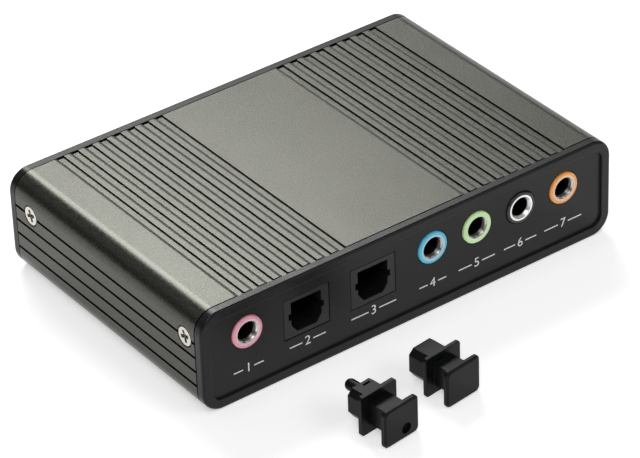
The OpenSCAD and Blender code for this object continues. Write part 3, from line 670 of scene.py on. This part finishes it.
class Tree:
    """A Geometry Nodes tree with named inputs, built in code; a named input is given by its label."""

    def __init__(self, name: str, sizes: dict[str, float | int]) -> None:
        """Starts a tree.

        Args:
            name: name of the tree.
            sizes: its named inputs and their values; a whole number makes a count.
        """
        self.group = bpy.data.node_groups.new(name, "GeometryNodeTree")
        self.sizes = sizes
        self._socket("Geometry", "INPUT", "NodeSocketGeometry")
        for label, value in sizes.items():
            self._socket(label, "INPUT", "NodeSocketInt" if isinstance(value, int) else "NodeSocketFloat")
        self._socket("Geometry", "OUTPUT", "NodeSocketGeometry")
        self.inputs = self.group.nodes.new("NodeGroupInput").outputs
        self.geometry = self.inputs["Geometry"]

    def _socket(self, label: str, side: str, kind: str) -> None:
        """Adds a socket to the tree's interface."""
        self.group.interface.new_socket(name=label, in_out=side, socket_type=kind)

    def add(self, kind: str, *links: tuple[str | int, Source], out: str | int = 0, **options: str) -> Socket:
        """Adds a node.

        Args:
            kind: the node's type.
            links: pairs of an input and what goes in: a socket, a plain value or the label of a named input.
            out: which of the node's outputs is returned.
            options: properties of the node.

        Returns:
            The output.
        """
        pairs = [(target, self.inputs[source] if isinstance(source, str) and source in self.sizes else source)
                 for target, source in links]
        return add_node(self.group, kind, *pairs, **options).outputs[out]

    def maths(self, operation: str, first: Source, second: Source) -> Socket:
        """Returns the result of a Math node."""
        return self.add("ShaderNodeMath", (0, first), (1, second), operation=operation)

    def times(self, first: Source, second: Source) -> Socket:
        """Returns the product of two values."""
        return self.maths("MULTIPLY", first, second)

    def vector(self, x: Source = 0.0, y: Source = 0.0, z: Source = 0.0) -> Socket:
        """Returns a vector made of three values."""
        return self.add("ShaderNodeCombineXYZ", (0, x), (1, y), (2, z))

    def moved(self, shape: Socket, to: Source = ZERO, turn: Point = ZERO) -> Socket:
        """Returns a shape moved and turned."""
        return self.add("GeometryNodeTransform", ("Geometry", shape), ("Translation", to), ("Rotation", turn))

    def joined(self, *shapes: Socket) -> Socket:
        """Returns several shapes as one."""
        return self.add("GeometryNodeJoinGeometry", *((0, shape) for shape in shapes))

    def less(self, shape: Socket, cutter: Socket) -> Socket:
        """Returns a shape with another cut out of it."""
        return self.add("GeometryNodeMeshBoolean", ("Mesh 1", shape), ("Mesh 2", cutter), operation="DIFFERENCE",
                        solver="EXACT")

    def repeated(self, points: Socket, shape: Socket, turned: bool = False) -> Socket:
        """Sets a shape on every point.

        Args:
            points: the points.
            shape: the shape.
            turned: whether the points' turn attribute turns each copy.

        Returns:
            The copies, realised.
        """
        links = [("Points", points), ("Instance", shape)]
        if turned:
            turn = self.add(
                "GeometryNodeInputNamedAttribute", ("Name", "turn"), out="Attribute", data_type="FLOAT_VECTOR")
            links.append(("Rotation", turn))
        return self.add("GeometryNodeRealizeInstances", (0, self.add("GeometryNodeInstanceOnPoints", *links)))

    def run(self, piece: Piece, shape: Socket, finish: Finish) -> None:
        """Ends the tree in Realize Instances and Set Material, and puts it on an object with its sizes.

        Args:
            piece: the object that gets the modifier.
            shape: the finished shape.
            finish: its finish.
        """
        real = self.add("GeometryNodeRealizeInstances", ("Geometry", shape))
        last = self.add("GeometryNodeSetMaterial", ("Geometry", real), ("Material", finish.material()))
        add_node(self.group, "NodeGroupOutput", (0, last))
        modifier = piece.modifiers.new(self.group.name, "NODES")
        modifier.node_group = self.group
        for item in self.group.interface.items_tree:
            if item.in_out == "INPUT" and item.name in self.sizes:
                modifier[item.identifier] = self.sizes[item.name]


def copies(name: str, one: Piece, places: Sequence[Point], finish: Finish) -> Piece:
    """Sets copies of a shape on points by a tree.

    Args:
        name: name of the result.
        one: the shape; it is removed.
        places: where the copies stand.
        finish: their finish.

    Returns:
        The plain result.
    """
    held = point_object(name, places)
    tree = Tree(name + "_copies", {})
    shape = tree.add("GeometryNodeObjectInfo", ("Object", one), out="Geometry")
    tree.run(held, tree.repeated(tree.geometry, shape), finish)
    result = settle(held)
    bpy.data.objects.remove(one)
    return result


# ---- the box


@dataclass
class HousingSleeve:
    """The extruded sleeve, with its cooling grooves and its countersunk screw holes."""

    width: float = 90 * MM
    height: float = 20 * MM
    half_length: float = 27.5 * MM
    corner: float = 4 * MM
    corner_steps: tuple[int, int] = (18, 10)
    side_wall: float = 2 * MM
    top_wall: float = 1.6 * MM
    rails: tuple[float, float] = (3.8 * MM, 6.6 * MM)
    rail_size: tuple[float, float] = (1.6 * MM, 1.0 * MM)
    grooves: int = 8
    first: float = 13.65 * MM
    shift: float = 0.22 * MM
    pitch: float = 3.06 * MM
    groove_width: float = 1.2 * MM
    groove_depth: float = 0.33 * MM
    groove_round: float = 1.25 * MM
    groove_lip: float = 4.0
    groove_steps: int = 10
    groove_rise: float = 0.06 * MM
    overrun: float = 1.1
    side_grooves: int = 4
    side_pitch: float = 2.92 * MM
    side_width: float = 0.55 * MM
    side_depth: float = 0.5 * MM
    head_radius: float = 2.05 * MM
    shank_radius: float = 1.1 * MM
    cone_height: float = 1.15 * MM
    sink: float = 0.05 * MM
    mouth_height: float = 1 * MM
    mouth_lift: float = 0.4999
    hole_length: float = 8 * MM
    hole_steps: int = 48
    rounding: float = 0.07 * MM
    round_from: float = 40.0

    def section(self) -> Piece:
        """Draws the plain sleeve out along Y from its section.

        Returns:
            The sleeve.
        """
        outer_steps, inner_steps = self.corner_steps
        outer = corner_loop(self.width, self.height, self.corner, outer_steps)
        inner = corner_loop(self.width - 2 * self.side_wall, self.height - 2 * self.top_wall,
                            self.corner - self.top_wall, inner_steps)
        curve = bpy.data.curves.new("sleeve_section", "CURVE")
        curve.dimensions = "2D"
        curve.fill_mode = "BOTH"
        curve.extrude = self.half_length
        for loop in (outer, self._with_rails(inner)):
            spline = curve.splines.new("POLY")
            spline.points.add(len(loop) - 1)
            for point, (x, z) in zip(spline.points, loop):
                point.co = (x, z, 0.0, 1.0)
            spline.use_cyclic_u = True
        drawn = add_object("ribbed_sleeve", curve)
        drawn.matrix_world = Matrix.Translation((0, 0, self.height / 2)) @ UPRIGHT
        plain = settle(drawn)
        work = bmesh.new()
        work.from_mesh(plain.data)
        make_whole(work, weld=0.001 * MM, flat=0.2)
        work.to_mesh(plain.data)
        work.free()
        return plain

    def _with_rails(self, loop: Outline) -> Outline:
        """Adds the two board rails on each side to the inner outline.

        Args:
            loop: the inner outline.

        Returns:
            The outline with its rails.
        """
        reach, thick = self.rail_size
        x = self.width / 2 - self.side_wall
        middle = self.height / 2
        left = []
        for low in sorted(self.rails, reverse=True):
            left += [(-x, low + thick - middle), (-x + reach, low + thick - middle),
                     (-x + reach, low - middle), (-x, low - middle)]
        right = [(-px, pz) for px, pz in reversed(left)]
        half = len(loop) // 2
        return [*loop[:half], *left, *loop[half:], *right]

    def groove_bar(self) -> Piece:
        """Makes the bar that cuts one roof groove, with a straight right wall and a gently rounded left one.

        Returns:
            The bar.
        """
        half, deep, radius = self.groove_width / 2, self.groove_depth, self.groove_round
        first, last = math.radians(self.groove_lip), math.acos((radius - deep) / radius)
        centre = -half - math.sqrt(2 * radius * deep - deep * deep)
        arc = []
        for step in range(self.groove_steps + 1):
            turn = last + (first - last) * step / self.groove_steps
            arc.append((centre + radius * math.sin(turn), radius * math.cos(turn) - radius))
        x, z = arc[-1]
        rise = self.groove_rise
        section = [(half, rise), (half, -deep), *arc, (x - (rise - z) / math.tan(first), rise)]
        work = bmesh.new()
        length = self.overrun * self.half_length
        ends = [[work.verts.new((px, y, pz)) for px, pz in section] for y in (-length, length)]
        for a in range(len(section)):
            b = (a + 1) % len(section)
            work.faces.new((ends[0][a], ends[0][b], ends[1][b], ends[1][a]))
        for end in ends:
            work.faces.new(end)
        bmesh.ops.recalc_face_normals(work, faces=work.faces)
        return finished("groove_bar", work)

    def grooved(self, plain: Piece, bar: Piece) -> None:
        """Adds the tree that cuts the grooves, as rows of bars.

        Args:
            plain: the plain sleeve.
            bar: the bar that cuts one roof groove.
        """
        tree = Tree("cooling_grooves", {
            "Roof Count": self.grooves, "Roof First": self.first, "Shift": self.shift, "Roof Pitch": self.pitch,
            "Side Count": self.side_grooves, "Side Pitch": self.side_pitch, "Side Width": self.side_width,
            "Side Depth": self.side_depth, "Side Top": SCREW_Z, "Half Width": self.width / 2, "Height": self.height,
            "Length": 2 * self.overrun * self.half_length})
        roof_bar = tree.add("GeometryNodeObjectInfo", ("Object", bar), out="Geometry")
        side_bar = tree.add(
            "GeometryNodeMeshCube", ("Size", tree.vector(tree.times("Side Depth", 2.0), "Length", "Side Width")))
        rows = []
        for side in (1.0, -1.0):
            middle = tree.maths("ADD", tree.times("Roof First", side), "Shift")
            edge = tree.times("Half Width", side)
            roof = tree.add(
                "GeometryNodeMeshLine", ("Count", "Roof Count"), ("Start Location", tree.vector(middle, 0.0, "Height")),
                ("Offset", tree.vector(tree.times("Roof Pitch", side))))
            wall = tree.add(
                "GeometryNodeMeshLine", ("Count", "Side Count"), ("Start Location", tree.vector(edge, 0.0, "Side Top")),
                ("Offset", tree.vector(z=tree.times("Side Pitch", -1.0))))
            rows += [tree.repeated(roof, roof_bar), tree.repeated(wall, side_bar)]
        tree.run(plain, tree.less(tree.geometry, tree.joined(*rows)), SLEEVE)

    def drilled(self, plain: Piece) -> None:
        """Adds the tree that cuts the countersunk screw holes.

        Args:
            plain: the sleeve.
        """
        tree = Tree("screw_holes", {
            "Head": self.head_radius, "Shank": self.shank_radius, "Cone": self.cone_height, "Sink": self.sink,
            "Half Width": self.width / 2, "Height": SCREW_Z, "Front": SCREW_Y[0], "Rear": SCREW_Y[1]})
        steps = ("Vertices", self.hole_steps)
        cone = tree.add("GeometryNodeMeshCone", steps, ("Radius Top", "Head"), ("Radius Bottom", "Shank"),
                        ("Depth", "Cone"))
        mouth, shank = (tree.add("GeometryNodeMeshCylinder", steps, ("Radius", radius), ("Depth", depth))
                        for radius, depth in (("Head", self.mouth_height), ("Shank", self.hole_length)))
        drop = tree.times("Cone", -1.0)
        lift = self.mouth_lift * self.mouth_height
        cutters = (tree.moved(cone, tree.vector(z=drop)), tree.moved(mouth, (0.0, 0.0, lift)), shank)
        shape = tree.geometry
        for side in (1.0, -1.0):
            x = tree.times(tree.maths("SUBTRACT", "Half Width", "Sink"), side)
            for label in ("Front", "Rear"):
                spot = tree.vector(x, label, "Height")
                for cutter in cutters:
                    shape = tree.less(shape, tree.moved(cutter, spot, (0.0, side * math.pi / 2, 0.0)))
        tree.run(plain, shape, SLEEVE)

    def build(self) -> None:
        """Builds the sleeve and puts it in its node's place."""
        plain = self.section()
        bar = self.groove_bar()
        self.grooved(plain, bar)
        self.drilled(plain)
        sleeve = soften(plain, self.rounding, angle=self.round_from)
        bpy.data.objects.remove(bar)
        dress(sleeve, SLEEVE, ["housing_sleeve"])


@dataclass
class HousingScrews:
    """The four countersunk cross-head screws."""

    nodes: tuple[str, ...] = ("screw_left_front", "screw_left_rear", "screw_right_front", "screw_right_rear")
    places: tuple[Point, ...] = tuple((x, y, SCREW_Z) for x in (-44.95 * MM, 44.95 * MM) for y in SCREW_Y)
    head_radius: float = 1.78 * MM
    shank_radius: float = 1.0 * MM
    head_height: float = 1.1 * MM
    length: float = 4.8 * MM
    cross_width: float = 2.35 * MM
    cross_slot: float = 0.66 * MM
    cross_depth: float = 0.9 * MM
    cross_turn: float = 20.0
    pit_end: float = 0.1 * MM
    pit_sink: float = 0.99
    steps: tuple[int, int, int] = (64, 32, 24)
    rounding: float = 0.06 * MM
    round_from: float = 35.0

    def build(self) -> None:
        """Builds one screw in a tree and sets it at its four places."""
        turns = [(0.0, math.copysign(math.pi / 2, x), 0.0) for x, _, _ in self.places]
        screws = point_object("cross_head_screws", self.places, turns)
        tree = Tree("screw", {
            "Head Radius": self.head_radius, "Shank Radius": self.shank_radius, "Head Height": self.head_height,
            "Length": self.length, "Cross Width": self.cross_width, "Cross Slot": self.cross_slot,
            "Cross Depth": self.cross_depth})
        head_steps, shank_steps, pit_steps = self.steps
        head = tree.add("GeometryNodeMeshCone", ("Vertices", head_steps), ("Radius Top", "Head Radius"),
                        ("Radius Bottom", "Shank Radius"), ("Depth", "Head Height"))
        head = tree.moved(head, tree.vector(z=tree.times("Head Height", -1.0)))
        bar = tree.add(
            "GeometryNodeMeshCube", ("Size", tree.vector("Cross Width", "Cross Slot", tree.times("Cross Depth", 2.0))))
        pit = tree.add("GeometryNodeMeshCone", ("Vertices", pit_steps), ("Radius Top", "Cross Slot"),
                       ("Radius Bottom", self.pit_end), ("Depth", "Cross Depth"))
        cutters = [tree.moved(bar, turn=(0.0, 0.0, math.radians(self.cross_turn + turn))) for turn in (0, 90)]
        cutters.append(tree.moved(pit, tree.vector(z=tree.times("Cross Depth", -self.pit_sink))))
        for cutter in cutters:
            head = tree.less(head, cutter)
        shank = tree.add("GeometryNodeMeshCylinder", ("Vertices", shank_steps), ("Radius", "Shank Radius"),
                         ("Depth", tree.maths("SUBTRACT", "Length", "Head Height")))
        drop = tree.times(tree.maths("ADD", "Length", "Head Height"), -0.5)
        one = tree.joined(head, tree.moved(shank, tree.vector(z=drop)))
        tree.run(screws, tree.repeated(tree.geometry, one, turned=True), SCREW)
        dress(soften(screws, self.rounding, angle=self.round_from), SCREW, self.nodes)


@dataclass
class EndCaps:
    """The two moulded end caps, with softened edges."""

    nodes: tuple[str, ...] = ("front_end_cap", "rear_end_cap")
    rounding: float = 0.08 * MM

    def build(self) -> None:
        """Replaces both caps by copies with rounded edges."""
        for node in self.nodes:
            softened_node(node, CAP, self.rounding)


@dataclass
class PortMarks:
    """Plain numbers between two short rules, printed in white below the seven ports."""

    widths: tuple[float, ...] = (6.3 * MM, 7.7 * MM, 9.8 * MM, 6.0 * MM, 8.2 * MM, 7.4 * MM, 8.6 * MM)
    height: float = 1.9 * MM
    figure_height: float = 0.72
    figure_half: float = 0.32
    z: float = 5.6 * MM
    panel_y: float = -29.0 * MM
    ink: float = 0.012 * MM
    gap: float = 0.55 * MM
    rule: float = 0.24 * MM
    curve_steps: int = 8
    sharp: float = 30.0

    def number(self, value: int, x: float) -> Piece:
        """Makes the printed number of a port.

        Args:
            value: the number.
            x: the port's middle, in metres.

        Returns:
            The number.
        """
        text = bpy.data.curves.new(f"number_{value}", "FONT")
        text.body = str(value)
        text.align_x = "CENTER"
        text.align_y = "CENTER"
        text.size = self.height / self.figure_height
        text.extrude = self.ink
        text.resolution_u = self.curve_steps
        drawn = add_object(f"number_{value}", text)
        drawn.matrix_world = Matrix.Translation((x, self.panel_y, self.z)) @ UPRIGHT
        return settle(drawn)

    def rules(self) -> Piece:
        """Makes the rules beside the numbers, two for each port.

        Returns:
            The rules, as one object.
        """
        work = bmesh.new()
        low = self.height * self.figure_half + self.gap
        for x, width in zip(PORTS.values(), self.widths):
            high = width / 2
            for side in (-1, 1):
                middle = Matrix.Translation((x + side * (low + high) / 2, self.panel_y, self.z))
                size = Matrix.Diagonal((high - low, 2 * self.ink, self.rule, 1.0))
                bmesh.ops.create_cube(work, size=1.0, matrix=middle @ size)
        return finished("mark_rules", work)

    def build(self) -> None:
        """Prints the numbers and the rules."""
        for value, x in enumerate(PORTS.values(), start=1):
            dress(self.number(value, x), INK, sharp=self.sharp)
        dress(self.rules(), INK, sharp=self.sharp)


@dataclass
class AudioJacks:
    """The five jacks: bodies and bushes with rounded edges, and a bright mouth and a pale rim in four noses. The rim is
    the nose's plastic, glossier and lightened towards grey as a painted highlight; the bushes and noses are painted
    dark deep in the holes as painted shade.

    The two profiles are pairs of a radius and a depth behind the nose's face.
    """

    coloured: tuple[str, ...] = ("mic", "line_in", "front_out", "centre_bass")
    nose_y: float = -29.35 * MM
    axis_z: float = 13.1 * MM
    mouth: Outline = ((2.5 * MM, 0.13 * MM), (2.24 * MM, 0.44 * MM), (1.9 * MM, 0.44 * MM), (2.14 * MM, 0.14 * MM))
    rim: Outline = ((2.56 * MM, 0.0), (2.56 * MM, 0.12 * MM), (2.14 * MM, 0.13 * MM), (2.14 * MM, 0.08 * MM))
    rim_grey: float = 0.8
    rim_roughness: float = 0.18
    ring_rounding: float = 0.03 * MM
    ring_round_from: float = 25.0
    body_rounding: float = 0.12 * MM
    bush_rounding: float = 0.06 * MM

    def rings(self, name: str, profile: Outline, jacks: Sequence[str], finish: Finish) -> None:
        """Turns one ring and sets it in the noses.

        Args:
            name: name of the piece.
            profile: the ring's profile.
            jacks: names of the jacks that get one.
            finish: the rings' finish.
        """
        one = soften(lathe("jack_ring", profile), self.ring_rounding, angle=self.ring_round_from)
        dress(copies(name, one, [(PORTS[jack], self.nose_y, self.axis_z) for jack in jacks], finish), finish)

    def build(self) -> None:
        """Dresses every jack; the springs keep their CAD shapes."""
        self.rings("jack_mouths", self.mouth, self.coloured, BUSH)
        for name in self.coloured:
            nose = NOSES[name]
            # Painted highlight: the rim's colour is the nose's colour mixed half with grey, paler than the nose.
            pale = replace(nose, name=nose.name + "_rim", roughness=self.rim_roughness,
                           colour=tuple((part + self.rim_grey) / 2 for part in nose.colour))
            self.rings(name + "_rim", self.rim, [name], pale)
        for name, nose in NOSES.items():
            softened_node(name + "_jack", nose, self.body_rounding, segments=3)
            softened_node(name + "_bush", RING if name == "rear_out" else BORE, self.bush_rounding)
            paint(name + "_tip_spring", SPRING)
            paint(name + "_ring_spring", SPRING)


@dataclass
class OpticalSockets:
    """The two square optical sockets with the light packages behind them."""

    rounding: float = 0.12 * MM

    def build(self) -> None:
        """Dresses both sockets."""
        for node in ("optical_in_housing", "optical_out_housing"):
            softened_node(node, OPTICAL, self.rounding, segments=3)
        for node in ("optical_receiver", "optical_emitter"):
            paint(node, RESIN)


@dataclass
class RearPorts:
    """The USB socket and the status light."""

    rounding: float = 0.1 * MM
    lens_rounding: float = 0.08 * MM

    def build(self) -> None:
        """Dresses the rear ports."""
        softened_node("usb_shell", SHELL, self.rounding)
        softened_node("usb_insulator", INSULATOR, self.rounding)
        for index in range(1, 5):
            paint(f"usb_contact_{index}", GOLD)
        softened_node("status_led", LENS, self.lens_rounding)
        paint("led_holder", CHIP)


@dataclass
class BoardParts:
    """The circuit board and what stands on it."""

    chips: tuple[str, ...] = (
        "audio_chip", "memory_chip", "amplifier_1", "amplifier_2", "voltage_regulator", "chip_resistors")
    capacitors: int = 8

    def build(self) -> None:
        """Dresses the board and its parts."""
        paint("circuit_board", BOARD)
        for node in self.chips:
            paint(node, CHIP)
        paint("crystal", SHELL)
        for index in range(1, self.capacitors + 1):
            paint(f"capacitor_{index}", CAN)


@dataclass
class DustPlugs:
    """The two loose dust plugs, with softened edges."""

    hole_radius: float = 1.07 * MM
    hole_end: Point = (-22.1540 * MM, -55.1510 * MM, 2.05 * MM)
    plug_turn: float = 7.0
    floor_thickness: float = 0.4 * MM
    floor_rounding: float = 0.04 * MM
    rounding: float = 0.12 * MM

    def hole_floor(self) -> None:
        """Closes the far end of the hole in the first plug's handle with a disc painted near-black as the shade deep in
        the hole.
        """
        work = bmesh.new()
        along = Matrix.Rotation(math.radians(self.plug_turn), 4, "Z") @ UPRIGHT
        bmesh.ops.create_cone(work, cap_ends=True, segments=48, radius1=self.hole_radius, radius2=self.hole_radius,
                              depth=self.floor_thickness, matrix=Matrix.Translation(self.hole_end) @ along)
        dress(soften(finished("plug_hole_floor", work), self.floor_rounding), DEEP)

    def build(self) -> None:
        """Dresses both plugs."""
        self.hole_floor()
        for node in ("dust_plug_in", "dust_plug_out"):
            softened_node(node, PLUG, self.rounding, segments=3)


# ---- stage


@dataclass(frozen=True)
class Softbox:
    """A rectangular light: its place, width, height and aim in metres, its power in watts."""

    name: str
    place: Point
    size: tuple[float, float]
    power: float
    aim: Point = (0.0, 0.0, 0.01)

    def hang(self) -> None:
        """Hangs the light so that it faces its aim."""
        light = bpy.data.lights.new(self.name, "AREA")
        light.shape = "RECTANGLE"
        light.size, light.size_y = self.size
        light.energy = self.power
        away = Vector(self.place) - Vector(self.aim)
        turn = away.to_track_quat("Z", "Y").to_matrix().to_4x4()
        add_object(self.name, light).matrix_world = Matrix.Translation(self.place) @ turn


@dataclass
class Stage:
    """Floor, lights and camera."""

    floor_half: float = 2.0
    floor_greys: tuple[float, float] = (0.86, 0.88)
    floor_cloud: float = 0.3
    floor_roughness: float = 0.9
    floor_specular: float = 0.1
    floor_glow: float = 0.47
    room_light: float = 0.12
    lights: tuple[Softbox, ...] = (
        Softbox("overhead", (-0.22, 0.02, 1.2), (0.5, 0.5), 1.5, aim=ZERO),
        Softbox("key", (-0.64, -0.48, 1.03), (0.6, 0.6), 4.5, aim=ZERO),
        Softbox("rear", (0.205, 0.64, 0.645), (0.34, 0.27), 4.0),
        Softbox("rear_side", (0.415, 0.58, 0.652), (0.13, 0.27), 0.98),
        Softbox("low_side", (0.64, 0.60, 0.19), (0.34, 0.18), 0.36),
        Softbox("rear_left", (-0.42, 0.56, 0.52), (0.5, 0.35), 0.16),
        Softbox("front", (0.36, -0.66, 0.56), (0.6, 0.3), 1.5))
    camera_place: Point = (-0.31928, -0.44701, 0.37159)
    camera_axes: tuple[Point, Point, Point] = (
        (0.79958, -0.59975, -0.03125), (0.35473, 0.42966, 0.83040), (-0.48460, -0.67506, 0.55629))
    lens: float = 206.22
    sensor: float = 36.0
    clip: float = 0.01

    def floor(self) -> None:
        """Lays the pale floor."""
        mesh = bpy.data.meshes.new("floor")
        half = self.floor_half
        mesh.from_pydata([(-half, -half, 0), (half, -half, 0), (half, half, 0), (-half, half, 0)], [], [(0, 1, 2, 3)])
        floor = add_object("floor", mesh)
        shader = Shader("pale_floor")
        darker, lighter = ((grey, grey, grey) for grey in self.floor_greys)
        shader.feed("Base Color", shader.blend(shader.span(shader.noise(self.floor_cloud)), darker, lighter))
        shader.feed("Roughness", self.floor_roughness)
        shader.feed("Specular IOR Level", self.floor_specular)
        shader.feed("Emission Color", (1.0, 1.0, 1.0, 1.0))
        shader.feed("Emission Strength", self.floor_glow)
        mesh.materials.append(shader.material)

    def surroundings(self) -> None:
        """Sets the room's faint light and the view transform that keeps the floor white."""
        world = bpy.data.worlds.new("studio")
        world.use_nodes = True
        background = world.node_tree.nodes["Background"]
        plug_in(background.inputs["Color"], (1.0, 1.0, 1.0, 1.0))
        plug_in(background.inputs["Strength"], self.room_light)
        bpy.context.scene.world = world
        bpy.context.scene.view_settings.view_transform = "Standard"

    def camera(self) -> None:
        """Sets the camera at the photograph's angle."""
        lens = bpy.data.cameras.new("camera")
        lens.lens = self.lens
        lens.sensor_width = self.sensor
        lens.clip_start = self.clip
        eye = add_object("camera", lens)
        turn = Matrix(self.camera_axes).transposed()
        eye.matrix_world = Matrix.Translation(self.camera_place) @ turn.to_4x4()
        bpy.context.scene.camera = eye

    def build(self) -> None:
        """Builds the stage around the part."""
        self.camera()
        self.floor()
        for light in self.lights:
            light.hang()
        self.surroundings()


def main() -> None:
    """Builds every class in order."""
    logging.basicConfig(level=logging.INFO, format="%(name)s: %(message)s")
    for part in (Stage(), HousingSleeve(), HousingScrews(), EndCaps(), PortMarks(), AudioJacks(), OpticalSockets(),
                 RearPorts(), BoardParts(), DustPlugs()):
        part.build()
        LOG.info("%s is built", type(part).__name__)
    bpy.context.view_layer.update()


if __name__ == "__main__":
    main()
